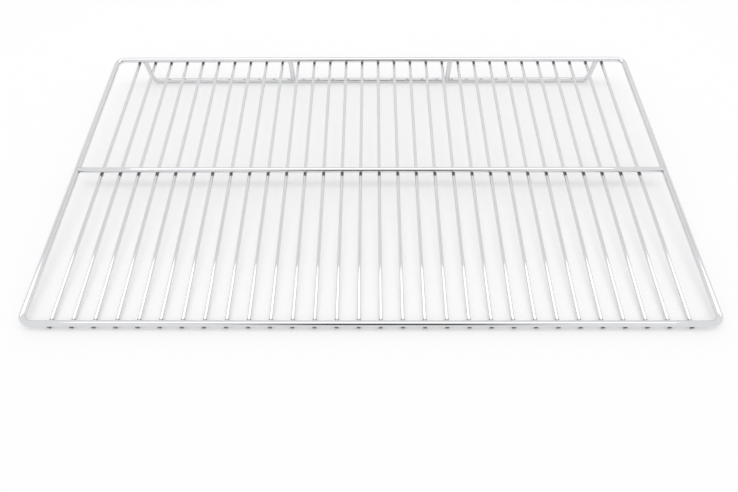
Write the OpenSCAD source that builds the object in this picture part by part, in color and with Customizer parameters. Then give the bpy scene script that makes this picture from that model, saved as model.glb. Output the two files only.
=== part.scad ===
// Wire shelf of a kitchen appliance: a bent frame of heavy wire, a centre bar, a deck of
// thin wires and a raised guard along the back edge, all welded into one piece.
//
// It lies here as it is put down with the deck underneath. It leans on the front ends of
// the deck wires and on the guard rail, which then hangs below the back edge.
//
// Every piece is drawn flat. The middle of the front rail's centre line is the drawing's
// origin, +Y runs to the back rail, and +Z points away from the side that carries the load.
// laid_down() turns the flat drawing into the way the shelf lies.

/* [Frame] */
// Width over the outer sides of the two side rails
frame_w = 636; // [560:1:800]
// Depth over the outer sides of the front and back rails
frame_d = 356; // [240:1:500]
// Diameter of the wire that the frame is bent from
frame_wire_d = 6; // [5:0.5:8]
// Radius of the wire's centre line at the four corners
corner_r = 9; // [6:0.5:18]

/* [Centre bar] */
// Diameter of the bar across the middle of the frame
centre_bar_d = 6; // [4:0.5:8]

/* [Deck] */
// Number of thin wires that run from front to back
deck_wire_count = 30; // [22:1:34]
// Diameter of the thin wires
deck_wire_d = 3.5; // [2.5:0.25:4.5]
// Distance from a side rail's centre line to the nearest thin wire's centre line
side_gap = 25; // [14:0.5:40]

/* [Back guard] */
// Diameter of the wire that the guard rail and its two legs are bent from
guard_wire_d = 6; // [4:0.5:6.5]
// Distance between the centre lines of the back rail and the guard rail
guard_height = 32; // [20:1:60]
// Radius of the guard wire's centre line where a leg turns into the rail
guard_bend_r = 6; // [4:0.5:12]
// Distance from the outermost thin wire inward to the leg beside it, between centre lines
leg_inset = 7.5; // [6:0.25:9]
// Diameter of the two struts that hold the guard rail between its legs
strut_d = 6; // [4:0.5:6.5]
// Each strut stands in the gap after this thin wire, counted from its own side
strut_after_wire = 10; // [3:1:10]

/* [Welds] */
// How far a thin wire is pressed into each bar that it crosses
cross_weld_depth = 0.4; // [0.2:0.05:0.8]
// How far the flat-cut end of a bar, leg or strut is pressed into the wire that it meets
butt_weld_depth = 1; // [0.5:0.1:1.5]

/* [Hidden] */
$fn = 64;
bright_plating = [0.82, 0.83, 0.85];

// Places in the flat drawing
side_rail_x = (frame_w - frame_wire_d) / 2;
back_rail_y = frame_d - frame_wire_d;
centre_bar_y = back_rail_y / 2;
// The centre bar's deck side is level with the frame's, so that the thin wires lie straight
centre_bar_z = (centre_bar_d - frame_wire_d) / 2;

deck_z = cross_weld_depth - (frame_wire_d + deck_wire_d) / 2;
deck_wire_pitch = 2 * (side_rail_x - side_gap) / (deck_wire_count - 1);
// The thin wires are cut off level with the outer sides of the front and back rails
deck_wire_len = frame_d;

guard_rail_z = -guard_height;
leg_x = side_rail_x - side_gap - leg_inset;
strut_x = side_rail_x - side_gap - (strut_after_wire - 0.5) * deck_wire_pitch;
// Where the flat-cut ends of the legs and struts lie, inside the two rails' round surfaces
guard_top_z = butt_weld_depth - frame_wire_d / 2;
strut_foot_z = guard_rail_z + guard_wire_d / 2 - butt_weld_depth;

// How the shelf lies: a line that touches the thin wires' front ends at their lowest edge
// and the round underside of the guard rail is the surface that it lies on
toe_y = -frame_wire_d / 2;
toe_z = deck_z - deck_wire_d / 2;
lean_run = back_rail_y - toe_y;
lean_fall = toe_z - guard_rail_z;
lean = atan(lean_fall / lean_run) + asin(guard_wire_d / 2 / norm([lean_run, lean_fall]));
toe_drop = toe_y * sin(lean) + toe_z * cos(lean);
// The furthest that the leaning shelf reaches to the front and to the back
front_reach = -frame_wire_d / 2;
guard_reach = back_rail_y * cos(lean) + guard_height * sin(lean) + guard_wire_d / 2;
deck_reach = (back_rail_y - toe_y) * cos(lean) - toe_z * sin(lean);
back_reach = max(guard_reach, deck_reach);

function wire_name(i) = str("deck_wire_", i < 10 ? "0" : "", i);
function deck_wire_x(i) = (i - (deck_wire_count + 1) / 2) * deck_wire_pitch;

// Sets the flat drawing down, with its lowest points at z = 0 and its middle over the origin
module laid_down() {
    translate([0, -(front_reach + back_reach) / 2, -toe_drop])
        rotate([lean, 0, 0])
            children();
}

// Straight round wires, centred on the origin
module wire_along_x(length, d) {
    rotate([0, 90, 0])
        cylinder(h = length, d = d, center = true);
}

module wire_along_y(length, d) {
    rotate([90, 0, 0])
        cylinder(h = length, d = d, center = true);
}

// A straight round wire that stands between two heights
module wire_upright(bottom, top, d) {
    translate([0, 0, bottom])
        cylinder(h = top - bottom, d = d);
}

// A quarter turn of round wire in the XY plane, from the X axis to the Y axis
module wire_bend(r, d) {
    rotate_extrude(angle = 90)
        translate([r, 0])
            circle(d = d);
}

// The bars that the thin wires cross, as plain cylinders for their weld seats
module crossed_bars() {
    for (y = [0, back_rail_y])
        translate([0, y, 0])
            wire_along_x(2 * side_rail_x, frame_wire_d);
    translate([0, centre_bar_y, centre_bar_z])
        wire_along_x(2 * side_rail_x, centre_bar_d);
}

// One closed rectangle with four round corners
module outer_frame() {
    color(bright_plating)
        laid_down() {
            for (y = [0, back_rail_y])
                translate([0, y, 0])
                    wire_along_x(2 * (side_rail_x - corner_r), frame_wire_d);
            for (side = [-1, 1])
                translate([side * side_rail_x, back_rail_y / 2, 0])
                    wire_along_y(back_rail_y - 2 * corner_r, frame_wire_d);
            for (flip_x = [0, 1], flip_y = [0, 1])
                translate([0, back_rail_y / 2, 0])
                    mirror([flip_x, 0, 0])
                        mirror([0, flip_y, 0])
                            translate([side_rail_x - corner_r, back_rail_y / 2 - corner_r, 0])
                                wire_bend(corner_r, frame_wire_d);
        }
}

// A straight bar whose ends are pressed onto the inner sides of the side rails
module centre_bar() {
    color(bright_plating)
        laid_down()
            difference() {
                translate([0, centre_bar_y, centre_bar_z])
                    wire_along_x(2 * (side_rail_x - frame_wire_d / 2 + butt_weld_depth), centre_bar_d);
                for (side = [-1, 1])
                    translate([side * side_rail_x, back_rail_y / 2, 0])
                        wire_along_y(back_rail_y, frame_wire_d);
            }
}

// A straight thin wire with a saddle-shaped weld seat at each bar that it crosses
module deck_wire(i) {
    color(bright_plating)
        laid_down()
            difference() {
                translate([deck_wire_x(i), back_rail_y / 2, deck_z])
                    wire_along_y(deck_wire_len, deck_wire_d);
                crossed_bars();
            }
}

// One wire bent into a rail with a leg at each end, welded under the back rail
module guard_rail() {
    color(bright_plating)
        laid_down()
            translate([0, back_rail_y, 0])
                difference() {
                    union() {
                        translate([0, 0, guard_rail_z])
                            wire_along_x(2 * (leg_x - guard_bend_r), guard_wire_d);
                        for (flip = [0, 1])
                            mirror([flip, 0, 0])
                                guard_leg();
                    }
                    wire_along_x(2 * side_rail_x, frame_wire_d);
                }
}

// The right-hand leg and the bend that joins it to the guard rail
module guard_leg() {
    translate([leg_x, 0, 0])
        wire_upright(guard_rail_z + guard_bend_r, guard_top_z, guard_wire_d);
    translate([leg_x - guard_bend_r, 0, guard_rail_z + guard_bend_r])
        rotate([-90, 0, 0])
            wire_bend(guard_bend_r, guard_wire_d);
}

// A short upright between the back rail and the guard rail, on the side -1 or 1
module guard_strut(side) {
    color(bright_plating)
        laid_down()
            translate([0, back_rail_y, 0])
                difference() {
                    translate([side * strut_x, 0, 0])
                        wire_upright(strut_foot_z, guard_top_z, strut_d);
                    wire_along_x(2 * side_rail_x, frame_wire_d);
                    translate([0, 0, guard_rail_z])
                        wire_along_x(2 * side_rail_x, guard_wire_d);
                }
}

outer_frame();
centre_bar();
guard_rail();
guard_strut(-1);  // guard_strut_left
guard_strut(1);  // guard_strut_right
for (i = [1:deck_wire_count])
    deck_wire(i);
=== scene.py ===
"""Looks of a wire shelf: bright plated wire with its welds and sheared ends, on a pale floor.

The shelf is modelled flat, as a maker draws it, and Placement then lays each mesh down the way
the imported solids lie. Lengths are in metres.
"""
import logging
import math
from collections.abc import Callable, Iterable
from dataclasses import dataclass, field, replace
from enum import Enum

import bmesh
import bpy
from mathutils import Matrix, Vector


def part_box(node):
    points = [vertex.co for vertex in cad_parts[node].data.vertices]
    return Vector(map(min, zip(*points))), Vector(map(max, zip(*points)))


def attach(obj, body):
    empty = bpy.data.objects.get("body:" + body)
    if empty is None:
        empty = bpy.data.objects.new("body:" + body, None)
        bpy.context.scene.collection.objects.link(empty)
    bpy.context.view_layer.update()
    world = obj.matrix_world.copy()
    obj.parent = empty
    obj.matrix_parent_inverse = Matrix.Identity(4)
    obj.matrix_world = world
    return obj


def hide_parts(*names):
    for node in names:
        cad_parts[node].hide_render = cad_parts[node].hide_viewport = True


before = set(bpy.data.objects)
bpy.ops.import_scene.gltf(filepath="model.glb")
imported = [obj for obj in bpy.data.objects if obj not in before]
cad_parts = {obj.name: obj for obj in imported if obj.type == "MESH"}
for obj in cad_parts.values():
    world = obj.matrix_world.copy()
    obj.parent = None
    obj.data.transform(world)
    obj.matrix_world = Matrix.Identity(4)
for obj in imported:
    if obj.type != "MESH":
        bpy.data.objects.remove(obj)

log = logging.getLogger("wire_shelf")

BODY = "root"
# Name of the face-corner attribute that holds a corner's place in the unbent wire
WIRE_SPACE = "wire_space"
X_AXIS = Vector((1, 0, 0))
Y_AXIS = Vector((0, 1, 0))
Z_AXIS = Vector((0, 0, 1))


@dataclass(frozen=True)
class ShelfSizes:
    """The shelf's driving sizes, the same as those of its solids."""

    frame_width: float = 0.636
    frame_depth: float = 0.356
    frame_wire: float = 0.006
    corner_radius: float = 0.009
    centre_bar: float = 0.006
    deck_wire_count: int = 30
    deck_wire: float = 0.0035
    side_gap: float = 0.025
    guard_wire: float = 0.006
    guard_height: float = 0.032
    guard_bend_radius: float = 0.006
    leg_inset: float = 0.0075
    strut: float = 0.006
    strut_after_wire: int = 10
    cross_weld_depth: float = 0.0004

    @property
    def side_rail_x(self) -> float:
        """Distance from the middle to a side rail's centre line."""
        return (self.frame_width - self.frame_wire) / 2

    @property
    def back_rail_y(self) -> float:
        """Distance from the front rail's centre line to the back rail's."""
        return self.frame_depth - self.frame_wire

    @property
    def centre_bar_z(self) -> float:
        """Height of the centre bar's centre line over the frame's."""
        return (self.centre_bar - self.frame_wire) / 2

    @property
    def deck_z(self) -> float:
        """Height of the deck wires' centre lines over the frame's."""
        return self.cross_weld_depth - (self.frame_wire + self.deck_wire) / 2

    @property
    def deck_pitch(self) -> float:
        """Distance between neighbouring deck wires."""
        return 2 * (self.side_rail_x - self.side_gap) / (self.deck_wire_count - 1)

    @property
    def leg_x(self) -> float:
        """Distance from the middle to a guard leg's centre line."""
        return self.side_rail_x - self.side_gap - self.leg_inset

    @property
    def strut_x(self) -> float:
        """Distance from the middle to a guard strut's centre line."""
        gaps = self.strut_after_wire - 0.5
        return self.side_rail_x - self.side_gap - gaps * self.deck_pitch

    def deck_wire_x(self, number: int) -> float:
        """Place of a deck wire across the shelf, numbered from 1 at the left."""
        return (number - (self.deck_wire_count + 1) / 2) * self.deck_pitch


@dataclass(frozen=True)
class Placement:
    """Lays the flat drawing down on its deck wires' front ends and its guard rail."""

    sizes: ShelfSizes

    def matrix(self) -> Matrix:
        """Works out how the shelf leans.

        Returns:
            The matrix from the flat drawing to the row's frame.
        """
        s = self.sizes
        toe = Vector((0, -s.frame_wire / 2, s.deck_z - s.deck_wire / 2))
        run = s.back_rail_y - toe.y
        fall = toe.z + s.guard_height
        lean = math.atan2(fall, run) + math.asin(s.guard_wire / 2 / math.hypot(run, fall))
        turn = Matrix.Rotation(lean, 4, "X")
        guard = turn @ Vector((0, s.back_rail_y, -s.guard_height))
        deck_end = turn @ Vector((0, s.frame_depth - s.frame_wire / 2, toe.z))
        back = max(guard.y + s.guard_wire / 2, deck_end.y)
        middle = (back - s.frame_wire / 2) / 2
        return Matrix.Translation((0, -middle, -(turn @ toe).z)) @ turn


class WireSweep:
    """Sweeps a round wire along straights and bends, ring by ring.

    Every face corner keeps its place in the unbent wire, so that the drawn grain follows the
    wire round its bends.
    """

    def __init__(self, start: Vector, heading: Vector, side: Vector, diameter: float, sides: int) -> None:
        """Places the first ring.

        Args:
            start: Centre of the first ring.
            heading: The way the wire sets off.
            side: A direction across the wire, from which the ring is counted.
            diameter: Diameter of the wire.
            sides: Number of sides of the ring.
        """
        self.bm = bmesh.new()
        self.sides = sides
        self.heading = heading.normalized()
        self.centre = start.copy()
        self._place = self.bm.verts.layers.float_vector.new(WIRE_SPACE)
        basis = Matrix((side, self.heading.cross(side), self.heading)).transposed().to_4x4()
        made = bmesh.ops.create_circle(
            self.bm, cap_ends=False, radius=diameter / 2, segments=sides,
            matrix=Matrix.Translation(start) @ basis)
        for vert in made["verts"]:
            local = basis.inverted() @ (vert.co - start)
            vert[self._place] = Vector((0, local.x, local.y))
        self.verts = made["verts"]
        self.first_edges = list(self.bm.edges)
        self.edges = list(self.bm.edges)

    def _take_ring(self, geometry: Iterable, length: float) -> None:
        """Makes an operator's far end the new ring, and counts the length of wire to it."""
        items = list(geometry)
        self.verts = [item for item in items if isinstance(item, bmesh.types.BMVert)]
        self.edges = [item for item in items if isinstance(item, bmesh.types.BMEdge)]
        for vert in self.verts:
            vert[self._place] = vert[self._place] + Vector((length, 0, 0))

    def straight(self, length: float, steps: int = 1) -> "WireSweep":
        """Goes straight on.

        Args:
            length: Length of the straight.
            steps: Number of rings along it.

        Returns:
            The sweep itself.
        """
        stride = length / steps
        for _ in range(steps):
            made = bmesh.ops.extrude_edge_only(self.bm, edges=self.edges)
            fresh = {item for item in made["geom"] if isinstance(item, bmesh.types.BMVert)}
            ring = [item for item in made["geom"]
                    if isinstance(item, bmesh.types.BMEdge) and set(item.verts) <= fresh]
            self._take_ring([*fresh, *ring], stride)
            bmesh.ops.translate(self.bm, vec=self.heading * stride, verts=self.verts)
            self.centre += self.heading * stride
        return self

    def bend(self, towards: Vector, radius: float, degrees: float = 90.0, steps: int = 12) -> "WireSweep":
        """Turns the wire.

        Args:
            towards: Direction from the wire to the centre of the bend.
            radius: Radius of the bend's centre line.
            degrees: How far the wire turns.
            steps: Number of rings along the bend.

        Returns:
            The sweep itself.
        """
        pivot = self.centre + towards * radius
        axis = self.heading.cross(towards)
        stride = math.radians(degrees) / steps
        for _ in range(steps):
            made = bmesh.ops.spin(
                self.bm, geom=[*self.verts, *self.edges], cent=pivot, axis=axis,
                dvec=Vector(), angle=stride, steps=1, use_merge=False,
                use_normal_flip=False, use_duplicate=False)
            self._take_ring(made["geom_last"], radius * stride)
        turn = Matrix.Rotation(math.radians(degrees), 3, axis)
        self.heading = turn @ self.heading
        self.centre = pivot + turn @ (self.centre - pivot)
        return self

    def keep_places(self) -> None:
        """Copies each corner's place in the unbent wire from the vertices to the face corners."""
        corner = self.bm.loops.layers.float_vector.new(WIRE_SPACE)
        for face in self.bm.faces:
            for loop in face.loops:
                loop[corner] = loop.vert[self._place]
        self.bm.verts.layers.float_vector.remove(self._place)

    def close(self) -> bmesh.types.BMesh:
        """Joins the last ring to the first one.

        Returns:
            The closed loop of wire.
        """
        self.keep_places()
        bmesh.ops.remove_doubles(self.bm, verts=self.bm.verts, dist=1e-6)
        return self._finished()

    def cap(self, end_round: float) -> bmesh.types.BMesh:
        """Closes both ends with flat sheared faces that have a small round edge.

        Args:
            end_round: Width of the rounding.

        Returns:
            The closed piece of wire, with its two end faces on the second material.
        """
        rims = [self.first_edges, self.edges]
        for rim in rims:
            bmesh.ops.edgeloop_fill(self.bm, edges=rim, mat_nr=1, use_smooth=False)
        self.keep_places()
        bmesh.ops.bevel(
            self.bm, geom=[edge for rim in rims for edge in rim], offset=end_round,
            segments=3, profile=0.5, affect="EDGES", material=-1)
        return self._finished()

    def _finished(self) -> bmesh.types.BMesh:
        """Turns the faces outward and shades all but the end faces smooth."""
        bmesh.ops.recalc_face_normals(self.bm, faces=self.bm.faces)
        for face in self.bm.faces:
            is_end = len(face.verts) == self.sides
            face.smooth = not is_end
            face.material_index = 1 if is_end else 0
        return self.bm


class Level(Enum):
    """How many sides a wire's ring has."""

    HEAVY = 40
    THIN = 28
    BEAD = 8


@dataclass
class Piece:
    """One visible piece of the shelf."""

    name: str
    mesh: bmesh.types.BMesh
    materials: list[bpy.types.Material]
    replaces: tuple[str, ...] = ()

    def place(self, placement: Matrix) -> bpy.types.Object:
        """Makes the piece's object, at the origin with its place in its mesh.

        Args:
            placement: The matrix from the flat drawing to the row's frame.

        Returns:
            The object, riding on the shelf's body.
        """
        data = bpy.data.meshes.new(self.name)
        bmesh.ops.transform(self.mesh, matrix=placement, verts=self.mesh.verts)
        self.mesh.to_mesh(data)
        self.mesh.free()
        for material in self.materials:
            data.materials.append(material)
        piece = bpy.data.objects.new(self.name, data)
        bpy.context.scene.collection.objects.link(piece)
        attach(piece, BODY)
        if self.replaces:
            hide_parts(*self.replaces)
        log.info("%s: %d faces%s", self.name, len(data.polygons), self._misfit(piece))
        return piece

    def _misfit(self, piece: bpy.types.Object) -> str:
        """Says how far the piece's box is from that of the solids it stands for."""
        if not self.replaces:
            return ""
        low = Vector(map(min, *[vert.co for vert in piece.data.vertices]))
        high = Vector(map(max, *[vert.co for vert in piece.data.vertices]))
        node_low, node_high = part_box(self.replaces[0])
        off = max(abs(a - b) for a, b in zip([*low, *high], [*node_low, *node_high]))
        return f", box within {off * 1000:.2f} mm of its solid's"


@dataclass(frozen=True)
class Finishes:
    """The materials that the pieces share."""

    wire: bpy.types.Material
    deck: bpy.types.Material
    weld: bpy.types.Material
    cut: bpy.types.Material


class NodeTree:
    """A short way to add nodes and links to a node tree."""

    def __init__(self, tree: bpy.types.NodeTree) -> None:
        """Keeps the tree, emptied of its default nodes."""
        self.tree = tree
        self.tree.nodes.clear()

    def add(self, kind: str, **settings: object) -> bpy.types.Node:
        """Adds a node.

        Args:
            kind: The node's type, such as ShaderNodeMath.
            settings: Properties to set on it.

        Returns:
            The node.
        """
        node = self.tree.nodes.new(kind)
        for key, value in settings.items():
            setattr(node, key, value)
        return node

    def link(self, source: bpy.types.NodeSocket, target: bpy.types.NodeSocket) -> None:
        """Joins an output to an input."""
        self.tree.links.new(source, target)

    def math(self, operation: str, *inputs: object) -> bpy.types.NodeSocket:
        """Adds a Math node whose inputs are sockets or numbers, and returns its output."""
        node = self.add("ShaderNodeMath", operation=operation)
        for socket, value in zip(node.inputs, inputs):
            if isinstance(value, bpy.types.NodeSocket):
                self.link(value, socket)
            else:
                socket.default_value = value
        return node.outputs[0]


@dataclass(frozen=True)
class DrawnGrain:
    """The fine lines that a die leaves along a drawn wire, under its plating."""

    name: str = "drawn_grain"

    def group(self) -> bpy.types.NodeTree:
        """Builds the node group once.

        Returns:
            The group, with the inputs Along and Around, in lines per metre, and the outputs
            Grain and Cloud, from 0 to 1.
        """
        found = bpy.data.node_groups.get(self.name)
        if found:
            return found
        tree = bpy.data.node_groups.new(self.name, "ShaderNodeTree")
        for label, value in (("Along", 40.0), ("Around", 2400.0), ("Cloud Size", 90.0)):
            socket = tree.interface.new_socket(label, in_out="INPUT", socket_type="NodeSocketFloat")
            socket.default_value = value
        for label in ("Grain", "Cloud"):
            tree.interface.new_socket(label, in_out="OUTPUT", socket_type="NodeSocketFloat")
        nodes = NodeTree(tree)
        given = nodes.add("NodeGroupInput")
        result = nodes.add("NodeGroupOutput")
        place = nodes.add("ShaderNodeAttribute", attribute_name=WIRE_SPACE)
        stretch = nodes.add("ShaderNodeCombineXYZ")
        nodes.link(given.outputs["Along"], stretch.inputs["X"])
        nodes.link(given.outputs["Around"], stretch.inputs["Y"])
        nodes.link(given.outputs["Around"], stretch.inputs["Z"])
        stretched = nodes.add("ShaderNodeVectorMath", operation="MULTIPLY")
        nodes.link(place.outputs["Vector"], stretched.inputs[0])
        nodes.link(stretch.outputs["Vector"], stretched.inputs[1])
        grain = nodes.add("ShaderNodeTexNoise")
        grain.inputs["Scale"].default_value = 1.0
        grain.inputs["Detail"].default_value = 3.0
        grain.inputs["Roughness"].default_value = 0.6
        nodes.link(stretched.outputs["Vector"], grain.inputs["Vector"])
        nodes.link(grain.outputs["Fac"], result.inputs["Grain"])
        where = nodes.add("ShaderNodeTexCoord")
        cloud = nodes.add("ShaderNodeTexNoise")
        cloud.inputs["Detail"].default_value = 2.0
        nodes.link(where.outputs["Object"], cloud.inputs["Vector"])
        nodes.link(given.outputs["Cloud Size"], cloud.inputs["Scale"])
        nodes.link(cloud.outputs["Fac"], result.inputs["Cloud"])
        return tree


@dataclass(frozen=True)
class Plating:
    """Bright plating on steel wire."""

    name: str
    light_tone: tuple[float, float, float]
    dark_tone: tuple[float, float, float]
    smoothest: float
    roughest: float
    along: float
    around: float
    relief: float
    relief_depth: float = 0.00002
    # Places along the wire of its welds. Round each one the plating gets a dark patch, partly weld heat
    # tint and partly painted shade where the bar beside it shades the wire and mirrors dark in it. The
    # next two fields give the patch's colour and how far each reaches
    welds: tuple[float, ...] = ()
    heat_tint_and_shade_tone: tuple[float, float, float] = (0.22, 0.213, 0.205)
    heat_tint_and_shade_reach: tuple[float, float] = (0.0042, 0.0068)

    def _heat_tint_and_shade(self, nodes: NodeTree, tone: bpy.types.NodeSocket) -> bpy.types.NodeSocket:
        """Darkens the plating round each weld, partly as heat tint and partly as painted shade where the
        bar beside it shades the wire and mirrors dark in it.

        Args:
            nodes: The material's node tree.
            tone: The plating's colour.

        Returns:
            The colour with a dark patch at each weld, partly heat tint and partly painted shade.
        """
        if not self.welds:
            return tone
        place = nodes.add("ShaderNodeAttribute", attribute_name=WIRE_SPACE)
        along = nodes.add("ShaderNodeSeparateXYZ")
        nodes.link(place.outputs["Vector"], along.inputs["Vector"])
        nearest = None
        for weld in self.welds:
            away = nodes.math("ABSOLUTE", nodes.math("SUBTRACT", along.outputs["X"], weld))
            nearest = away if nearest is None else nodes.math("MINIMUM", nearest, away)
        patch = nodes.add("ShaderNodeMapRange", interpolation_type="SMOOTHSTEP")
        patch.inputs["From Min"].default_value, patch.inputs["From Max"].default_value = self.heat_tint_and_shade_reach
        patch.inputs["To Min"].default_value = 1.0
        patch.inputs["To Max"].default_value = 0.0
        nodes.link(nearest, patch.inputs["Value"])
        mix = nodes.add("ShaderNodeMix", data_type="RGBA")
        mix_a, mix_b = (s for s in mix.inputs if s.type == "RGBA")
        nodes.link(tone, mix_a)
        # The patch's colour: partly heat tint, partly painted shade beside the bar
        mix_b.default_value = (*self.heat_tint_and_shade_tone, 1.0)
        nodes.link(patch.outputs["Result"], mix.inputs["Factor"])
        return next(s for s in mix.outputs if s.type == "RGBA")

    def material(self) -> bpy.types.Material:
        """Builds the material.

        Returns:
            A metal whose tone and roughness vary as plating does, with the wire's drawn grain.
        """
        material = bpy.data.materials.new(self.name)
        material.use_nodes = True
        nodes = NodeTree(material.node_tree)
        out = nodes.add("ShaderNodeOutputMaterial")
        metal = nodes.add("ShaderNodeBsdfPrincipled")
        metal.inputs["Metallic"].default_value = 1.0
        grain = nodes.add("ShaderNodeGroup", node_tree=DrawnGrain().group())
        grain.inputs["Along"].default_value = self.along
        grain.inputs["Around"].default_value = self.around
        tone = nodes.add("ShaderNodeMix", data_type="RGBA")
        # The colour sockets of a Mix node share their names with its number sockets
        tone_a, tone_b = (s for s in tone.inputs if s.type == "RGBA")
        tone_a.default_value = (*self.dark_tone, 1.0)
        tone_b.default_value = (*self.light_tone, 1.0)
        nodes.link(grain.outputs["Cloud"], tone.inputs["Factor"])
        tone_out = next(s for s in tone.outputs if s.type == "RGBA")
        nodes.link(self._heat_tint_and_shade(nodes, tone_out), metal.inputs["Base Color"])
        polish = nodes.add("ShaderNodeMapRange")
        polish.inputs["To Min"].default_value = self.smoothest
        polish.inputs["To Max"].default_value = self.roughest
        polish.inputs["From Min"].default_value = 0.3
        polish.inputs["From Max"].default_value = 0.7
        nodes.link(grain.outputs["Grain"], polish.inputs["Value"])
        nodes.link(polish.outputs["Result"], metal.inputs["Roughness"])
        bump = nodes.add("ShaderNodeBump")
        bump.inputs["Strength"].default_value = self.relief
        bump.inputs["Distance"].default_value = self.relief_depth
        nodes.link(grain.outputs["Grain"], bump.inputs["Height"])
        nodes.link(bump.outputs["Normal"], metal.inputs["Normal"])
        nodes.link(metal.outputs["BSDF"], out.inputs["Surface"])
        return material


@dataclass
class Shelf:
    """The whole shelf, and the way its pieces are built."""

    sizes: ShelfSizes
    finishes: Finishes
    placement: Matrix = field(default_factory=Matrix)
    end_round: float = 0.00035
    # How far a bar's end runs on into the wire it is welded to, where the weld has closed it
    weld_overrun: float = 0.0022
    # Radii of the beads round a crossing's seat and round a bar's end
    seat_bead: float = 0.00038
    collar_bead: float = 0.00042
    # Share of a collar's bead that is sunk in its bar, and of the rail's radius that it climbs
    collar_sink: float = 0.35
    collar_reach: float = 0.97

    def build(self) -> list[bpy.types.Object]:
        """Builds every piece.

        Returns:
            The objects, in the order they were made.
        """
        s = self.sizes
        pieces = [self.outer_frame(), self.centre_bar(), self.guard_rail()]
        for side, name in ((-1, "left"), (1, "right")):
            pieces.append(self.guard_strut(side, f"guard_strut_{name}"))
        pieces += [self.deck_wire(number) for number in range(1, s.deck_wire_count + 1)]
        for name, y, radius, height in (
                ("front_rail_welds", 0.0, s.frame_wire / 2, 0.0),
                ("centre_bar_welds", s.back_rail_y / 2, s.centre_bar / 2, s.centre_bar_z),
                ("back_rail_welds", s.back_rail_y, s.frame_wire / 2, 0.0)):
            pieces.append(self.crossing_welds(name, y, radius, height))
        pieces += [self.centre_bar_end_welds(), self.guard_welds()]
        return [piece.place(self.placement) for piece in pieces]

    def outer_frame(self) -> Piece:
        """The closed rectangle of heavy wire with four round corners."""
        s = self.sizes
        across = 2 * (s.side_rail_x - s.corner_radius)
        down = s.back_rail_y - 2 * s.corner_radius
        start = Vector((-across / 2, 0, 0))
        sweep = WireSweep(start, X_AXIS, Z_AXIS, s.frame_wire, Level.HEAVY.value)
        inward = Y_AXIS
        for length in (across, down, across, down):
            ahead = sweep.heading.copy()
            sweep.straight(length, steps=6).bend(inward, s.corner_radius, steps=14)
            inward = -ahead
        return Piece("outer_frame_wire", sweep.close(), [self.finishes.wire], ("outer_frame",))

    def centre_bar(self) -> Piece:
        """The straight bar between the side rails, run on into its welds."""
        s = self.sizes
        half = s.side_rail_x - s.frame_wire / 2 + self.weld_overrun
        start = Vector((-half, s.back_rail_y / 2, s.centre_bar_z))
        sweep = WireSweep(start, X_AXIS, Z_AXIS, s.centre_bar, Level.HEAVY.value)
        mesh = sweep.straight(2 * half, steps=6).cap(self.end_round)
        return Piece("centre_bar_wire", mesh, [self.finishes.wire, self.finishes.cut], ("centre_bar",))

    def deck_wire(self, number: int) -> Piece:
        """One thin straight wire, sheared off level with the frame."""
        s = self.sizes
        start = Vector((s.deck_wire_x(number), -s.frame_wire / 2, s.deck_z))
        sweep = WireSweep(start, Y_AXIS, Z_AXIS, s.deck_wire, Level.THIN.value)
        mesh = sweep.straight(s.frame_depth, steps=4).cap(self.end_round)
        return Piece(f"deck_wire_{number:02d}_drawn", mesh, [self.finishes.deck, self.finishes.cut],
                     (f"deck_wire_{number:02d}",))

    def guard_rail(self) -> Piece:
        """The bent wire of the guard, from one leg's weld to the other's."""
        s = self.sizes
        top = self.weld_overrun - s.frame_wire / 2
        drop = top + s.guard_height - s.guard_bend_radius
        start = Vector((-s.leg_x, s.back_rail_y, top))
        sweep = WireSweep(start, -Z_AXIS, Y_AXIS, s.guard_wire, Level.HEAVY.value)
        sweep.straight(drop, steps=2).bend(X_AXIS, s.guard_bend_radius)
        sweep.straight(2 * (s.leg_x - s.guard_bend_radius), steps=6)
        sweep.bend(Z_AXIS, s.guard_bend_radius).straight(drop, steps=2)
        return Piece("guard_rail_wire", sweep.cap(self.end_round),
                     [self.finishes.wire, self.finishes.cut], ("guard_rail",))

    def guard_strut(self, side: int, node: str) -> Piece:
        """One short upright between the back rail and the guard rail."""
        s = self.sizes
        top = self.weld_overrun - s.frame_wire / 2
        foot = s.guard_wire / 2 - self.weld_overrun - s.guard_height
        start = Vector((side * s.strut_x, s.back_rail_y, foot))
        sweep = WireSweep(start, Z_AXIS, Y_AXIS, s.strut, Level.HEAVY.value)
        mesh = sweep.straight(top - foot, steps=2).cap(self.end_round)
        return Piece(f"{node}_wire", mesh, [self.finishes.wire, self.finishes.cut], (node,))

    def crossing_welds(self, name: str, y: float, bar_radius: float, height: float) -> Piece:
        """The small beads squeezed out where the deck wires cross one bar."""
        s = self.sizes
        beads = bmesh.new()
        wire_radius = s.deck_wire / 2
        sink = s.cross_weld_depth
        # Half widths of the seat, where the two round surfaces meet
        seat_x = math.sqrt(wire_radius ** 2 - (wire_radius - sink) ** 2)
        seat_y = math.sqrt(bar_radius ** 2 - (bar_radius - sink) ** 2)
        for number in range(1, s.deck_wire_count + 1):
            centre = Vector((s.deck_wire_x(number), y, height - bar_radius + sink / 2))
            self._bead_ring(beads, centre, Vector((seat_x, seat_y)), self.seat_bead,
                            Matrix.Identity(3), None)
        return Piece(name, self._beads(beads), [self.finishes.weld])

    def centre_bar_end_welds(self) -> Piece:
        """The beads round the centre bar's two ends."""
        s = self.sizes
        beads = bmesh.new()
        for side in (-1, 1):
            self._collar(beads, Vector((side * s.side_rail_x, s.back_rail_y / 2, s.centre_bar_z)),
                         -side * X_AXIS, Z_AXIS, s.centre_bar / 2, s.frame_wire / 2)
        return Piece("centre_bar_end_welds", self._beads(beads), [self.finishes.weld])

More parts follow.
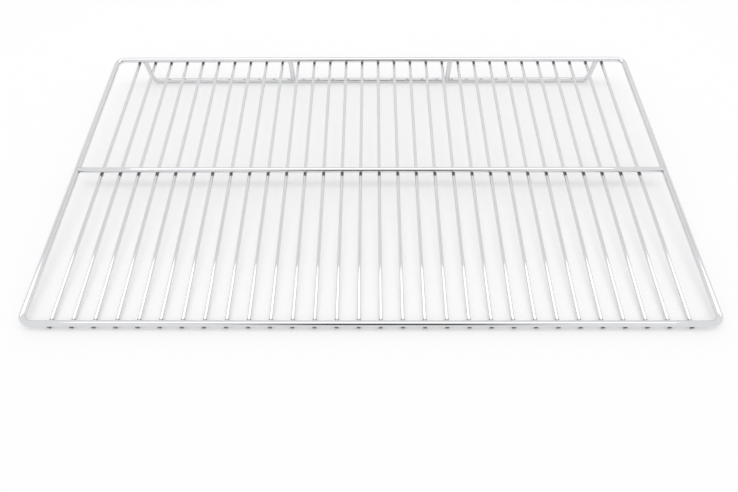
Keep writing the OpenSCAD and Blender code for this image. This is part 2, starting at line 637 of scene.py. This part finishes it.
    def guard_welds(self) -> Piece:
        """The beads at the tops of the legs and at both ends of the struts."""
        s = self.sizes
        beads = bmesh.new()
        uprights = [(s.leg_x, s.guard_wire), (s.strut_x, s.strut)]
        for side in (-1, 1):
            for x, wire in uprights:
                self._collar(beads, Vector((side * x, s.back_rail_y, 0)),
                             -Z_AXIS, Y_AXIS, wire / 2, s.frame_wire / 2)
            self._collar(beads, Vector((side * s.strut_x, s.back_rail_y, -s.guard_height)),
                         Z_AXIS, Y_AXIS, s.strut / 2, s.guard_wire / 2)
        return Piece("guard_welds", self._beads(beads), [self.finishes.weld])

    def _collar(self, target: bmesh.types.BMesh, rail: Vector, away: Vector, across: Vector,
                bar_radius: float, rail_radius: float) -> None:
        """Adds the bead where a bar's end meets a round rail.

        Args:
            target: The mesh that the bead is added to.
            rail: The point on the rail's centre line that the bar points at.
            away: Direction along the bar, away from the rail.
            across: Direction across both the bar and the rail.
            bar_radius: Radius of the bar.
            rail_radius: Radius of the rail.
        """
        basis = Matrix((across.cross(away), across, away)).transposed()
        ring_radius = bar_radius - self.collar_bead * self.collar_sink

        def saddle(point: Vector) -> float:
            """Height of the rail's surface over its centre line, under a point of the ring."""
            reach = min(abs(point.y), rail_radius * self.collar_reach)
            return math.sqrt(rail_radius ** 2 - reach ** 2)

        half = Vector((ring_radius, bar_radius - self.collar_bead))
        self._bead_ring(target, rail, half, self.collar_bead, basis, saddle, 24)

    def _bead_ring(self, target: bmesh.types.BMesh, centre: Vector, half: Vector, bead: float,
                   basis: Matrix, lift: Callable[[Vector], float] | None, steps: int = 14) -> None:
        """Adds one closed ring of weld metal.

        Args:
            target: The mesh that the ring is added to.
            centre: Centre of the ring.
            half: Half of the ring's widths, between the middles of its bead.
            bead: Radius of the bead.
            basis: The ring's own axes, with the ring round the third.
            lift: How far a point of the ring is moved along the third axis, if at all.
            steps: Number of sections round the ring.
        """
        ring = bmesh.new()
        bmesh.ops.create_circle(
            ring, cap_ends=False, radius=bead, segments=Level.BEAD.value,
            matrix=Matrix.Translation((1, 0, 0)) @ Matrix.Rotation(math.pi / 2, 4, "X"))
        bmesh.ops.spin(
            ring, geom=[*ring.verts, *ring.edges], cent=Vector(), axis=Z_AXIS, dvec=Vector(),
            angle=2 * math.pi, steps=steps, use_merge=True, use_normal_flip=False, use_duplicate=False)
        bmesh.ops.remove_doubles(ring, verts=ring.verts, dist=1e-7)
        for vert in ring.verts:
            flat = Vector((vert.co.x, vert.co.y))
            out = flat.length - 1
            middle = Vector((flat.x * half.x, flat.y * half.y)) / flat.length
            place = Vector((*(middle + flat.normalized() * out), vert.co.z))
            if lift:
                place.z += lift(place)
            vert.co = centre + basis @ place
        bmesh.ops.recalc_face_normals(ring, faces=ring.faces)
        scratch = bpy.data.meshes.new("bead")
        ring.to_mesh(scratch)
        ring.free()
        target.from_mesh(scratch)
        bpy.data.meshes.remove(scratch)

    def _beads(self, beads: bmesh.types.BMesh) -> bmesh.types.BMesh:
        """Shades the beads smooth and gives them a place in their own unbent space."""
        corner = beads.loops.layers.float_vector.new(WIRE_SPACE)
        for face in beads.faces:
            face.smooth = True
            for loop in face.loops:
                loop[corner] = loop.vert.co
        return beads


@dataclass(frozen=True)
class Studio:
    """A pale floor, one large soft lamp overhead, and the camera."""

    background: float = 0.965
    sky: float = 0.98
    fill: float = 0.84
    # The room that the metal mirrors: plain white walls, and a duller ring round the lamp
    walls: tuple[float, float, float] = (0.95, 0.95, 0.955)
    ring: tuple[float, float, float] = (0.78, 0.785, 0.80)
    ring_from: float = 0.825
    ring_to: float = 0.87
    floor_size: float = 12.0
    floor_white: float = 0.72
    floor_fade: tuple[float, float] = (0.55, 1.3)
    lamp_place: tuple[float, float, float] = (0.0, 0.145, 2.0)
    lamp_size: tuple[float, float] = (3.0, 0.81)
    lamp_radiance: float = 1.18
    card_place: tuple[float, float, float] = (0.03, -0.52, 0.22)
    card_size: tuple[float, float] = (0.68, 0.40)
    card_tone: float = 0.05
    card_core: float = 0.09
    camera_place: tuple[float, float, float] = (0.00146, -0.37369, 0.41166)
    camera_aim: tuple[float, float, float] = (-0.00078, -0.10056, 0.020)
    camera_roll: float = math.radians(-0.4019)
    lens: float = 24.2528

    def build(self) -> None:
        """Makes the floor, the lights and the camera."""
        bpy.context.scene.view_settings.view_transform = "Standard"
        self._world()
        self._floor()
        self._lamp()
        self._card()
        self._camera()

    def _seen(self, nodes: NodeTree, *rays: str) -> bpy.types.NodeSocket:
        """Adds a Light Path node and returns 1 for the named kinds of ray."""
        path = nodes.add("ShaderNodeLightPath")
        total = path.outputs[rays[0]]
        for ray in rays[1:]:
            total = nodes.math("MAXIMUM", total, path.outputs[ray])
        return total

    def _world(self) -> None:
        """A plain white room: even light on the shelf, and a white background."""
        world = bpy.data.worlds.new("studio_room")
        bpy.context.scene.world = world
        world.use_nodes = True
        nodes = NodeTree(world.node_tree)
        out = nodes.add("ShaderNodeOutputWorld")
        light = nodes.add("ShaderNodeBackground")
        light.inputs["Color"].default_value = (1, 1, 1, 1)
        light.inputs["Strength"].default_value = self.fill
        shown = nodes.add("ShaderNodeBackground")
        shown.inputs["Color"].default_value = (1, 1, 1, 1)
        shown.inputs["Strength"].default_value = self.sky
        mirrored = nodes.add("ShaderNodeBackground")
        where = nodes.add("ShaderNodeTexCoord")
        height = nodes.add("ShaderNodeSeparateXYZ")
        nodes.link(where.outputs["Generated"], height.inputs["Vector"])
        room = nodes.add("ShaderNodeValToRGB")
        room.color_ramp.elements[0].position = self.ring_from
        room.color_ramp.elements[0].color = (*self.walls, 1)
        room.color_ramp.elements[1].position = self.ring_to
        room.color_ramp.elements[1].color = (*self.ring, 1)
        nodes.link(height.outputs["Z"], room.inputs["Fac"])
        nodes.link(room.outputs["Color"], mirrored.inputs["Color"])
        first = nodes.add("ShaderNodeMixShader")
        nodes.link(self._seen(nodes, "Is Glossy Ray"), first.inputs["Fac"])
        nodes.link(light.outputs[0], first.inputs[1])
        nodes.link(mirrored.outputs[0], first.inputs[2])
        second = nodes.add("ShaderNodeMixShader")
        nodes.link(self._seen(nodes, "Is Camera Ray", "Is Transmission Ray"), second.inputs["Fac"])
        nodes.link(first.outputs[0], second.inputs[1])
        nodes.link(shown.outputs[0], second.inputs[2])
        nodes.link(second.outputs[0], out.inputs["Surface"])

    def _sheet(self, name: str, size: tuple[float, float]) -> bpy.types.Object:
        """Makes a flat rectangle in the XY plane that isn't part of the shelf."""
        bm = bmesh.new()
        bmesh.ops.create_grid(bm, x_segments=1, y_segments=1, size=0.5)
        bmesh.ops.scale(bm, vec=Vector((*size, 1)), verts=bm.verts)
        data = bpy.data.meshes.new(name)
        bm.to_mesh(data)
        bm.free()
        sheet = bpy.data.objects.new(name, data)
        bpy.context.scene.collection.objects.link(sheet)
        return sheet

    def _floor(self) -> None:
        """A matt white floor that keeps the shelf's shadow and fades into the background."""
        floor = self._sheet("floor", (self.floor_size, self.floor_size))
        material = bpy.data.materials.new("floor_white")
        material.use_nodes = True
        nodes = NodeTree(material.node_tree)
        out = nodes.add("ShaderNodeOutputMaterial")
        matt = nodes.add("ShaderNodeBsdfDiffuse")
        matt.inputs["Color"].default_value = (*[self.floor_white] * 3, 1)
        glow = nodes.add("ShaderNodeEmission")
        nodes.link(nodes.math("MULTIPLY", self._seen(nodes, "Is Camera Ray", "Is Glossy Ray"),
                              self.background - self.floor_white), glow.inputs["Strength"])
        near = nodes.add("ShaderNodeAddShader")
        nodes.link(matt.outputs[0], near.inputs[0])
        nodes.link(glow.outputs[0], near.inputs[1])
        far = nodes.add("ShaderNodeEmission")
        far.inputs["Strength"].default_value = self.background
        where = nodes.add("ShaderNodeTexCoord")
        distance = nodes.add("ShaderNodeVectorMath", operation="LENGTH")
        nodes.link(where.outputs["Object"], distance.inputs[0])
        fade = nodes.add("ShaderNodeMapRange")
        fade.inputs["From Min"].default_value, fade.inputs["From Max"].default_value = self.floor_fade
        nodes.link(distance.outputs["Value"], fade.inputs["Value"])
        fading = nodes.math("MULTIPLY", fade.outputs["Result"],
                            self._seen(nodes, "Is Camera Ray", "Is Glossy Ray", "Is Transmission Ray"))
        ground = nodes.add("ShaderNodeMixShader")
        nodes.link(fading, ground.inputs["Fac"])
        nodes.link(near.outputs[0], ground.inputs[1])
        nodes.link(far.outputs[0], ground.inputs[2])
        below = nodes.add("ShaderNodeBsdfTransparent")
        geometry = nodes.add("ShaderNodeNewGeometry")
        both_sides = nodes.add("ShaderNodeMixShader")
        nodes.link(geometry.outputs["Backfacing"], both_sides.inputs["Fac"])
        nodes.link(ground.outputs[0], both_sides.inputs[1])
        nodes.link(below.outputs[0], both_sides.inputs[2])
        nodes.link(both_sides.outputs[0], out.inputs["Surface"])
        floor.data.materials.append(material)

    def _lamp(self) -> None:
        """One large soft lamp overhead, a little behind the shelf."""
        data = bpy.data.lights.new("soft_lamp", "AREA")
        data.shape = "RECTANGLE"
        data.size, data.size_y = self.lamp_size
        # An area lamp's power in watts is four times its face's radiance over its area
        data.energy = 4 * self.lamp_radiance * data.size * data.size_y
        lamp = bpy.data.objects.new("soft_lamp", data)
        lamp.location = self.lamp_place
        bpy.context.scene.collection.objects.link(lamp)

    def _card(self) -> None:
        """A dark card in front, which shows only as the thin dark line along the bars."""
        card = self._sheet("dark_card", self.card_size)
        place = Matrix.Translation(self.card_place) @ Matrix.Rotation(math.pi / 2, 4, "X")
        card.data.transform(place)
        material = bpy.data.materials.new("card_dark")
        material.use_nodes = True
        nodes = NodeTree(material.node_tree)
        out = nodes.add("ShaderNodeOutputMaterial")
        tone = nodes.add("ShaderNodeEmission")
        where = nodes.add("ShaderNodeTexCoord")
        across = nodes.add("ShaderNodeSeparateXYZ")
        nodes.link(where.outputs["Object"], across.inputs["Vector"])
        edge = nodes.add("ShaderNodeMapRange", interpolation_type="SMOOTHSTEP")
        edge.inputs["From Min"].default_value = self.card_core
        edge.inputs["From Max"].default_value = self.card_size[0] / 2
        edge.inputs["To Min"].default_value = self.card_tone
        edge.inputs["To Max"].default_value = self.walls[0]
        from_middle = nodes.math("SUBTRACT", across.outputs["X"], self.card_place[0])
        nodes.link(nodes.math("ABSOLUTE", from_middle), edge.inputs["Value"])
        nodes.link(edge.outputs["Result"], tone.inputs["Strength"])
        nodes.link(tone.outputs[0], out.inputs["Surface"])
        card.data.materials.append(material)
        card.visible_camera = False
        card.visible_diffuse = False
        card.visible_shadow = False

    def _camera(self) -> None:
        """The photograph's viewpoint."""
        data = bpy.data.cameras.new("camera")
        data.lens = self.lens
        data.sensor_width = 36.0
        data.clip_start, data.clip_end = 0.01, 50.0
        camera = bpy.data.objects.new("camera", data)
        way = Vector(self.camera_aim) - Vector(self.camera_place)
        turn = way.to_track_quat("-Z", "Y").to_matrix() @ Matrix.Rotation(self.camera_roll, 3, "Z")
        camera.matrix_world = Matrix.Translation(self.camera_place) @ turn.to_4x4()
        bpy.context.scene.collection.objects.link(camera)
        bpy.context.scene.camera = camera


def main() -> None:
    logging.basicConfig(level=logging.INFO, format="%(name)s: %(message)s")
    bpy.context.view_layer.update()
    Studio().build()
    sizes = ShelfSizes()
    bright = Plating("bright_plating", (0.765, 0.77, 0.78), (0.715, 0.72, 0.735),
                     smoothest=0.05, roughest=0.12, along=40, around=2400, relief=0.12)
    first = sizes.frame_wire / 2
    crossings = (first, first + sizes.back_rail_y / 2, first + sizes.back_rail_y)
    finishes = Finishes(
        wire=bright.material(),
        # Round each crossing the deck wires' plating is darkened, partly as weld heat tint and partly as
        # painted shade beside the bar
        deck=replace(bright, name="bright_plating_deck", welds=crossings).material(),
        weld=Plating("plated_weld", (0.34, 0.335, 0.33), (0.20, 0.195, 0.19),
                     smoothest=0.18, roughest=0.36, along=2600, around=2600, relief=0.8).material(),
        cut=Plating("sheared_end", (0.62, 0.61, 0.60), (0.46, 0.455, 0.45),
                    smoothest=0.22, roughest=0.42, along=1800, around=3200, relief=0.6).material())
    shelf = Shelf(sizes, finishes, Placement(sizes).matrix())
    pieces = shelf.build()
    log.info("%d pieces in all", len(pieces))


if __name__ == "__main__":
    main()
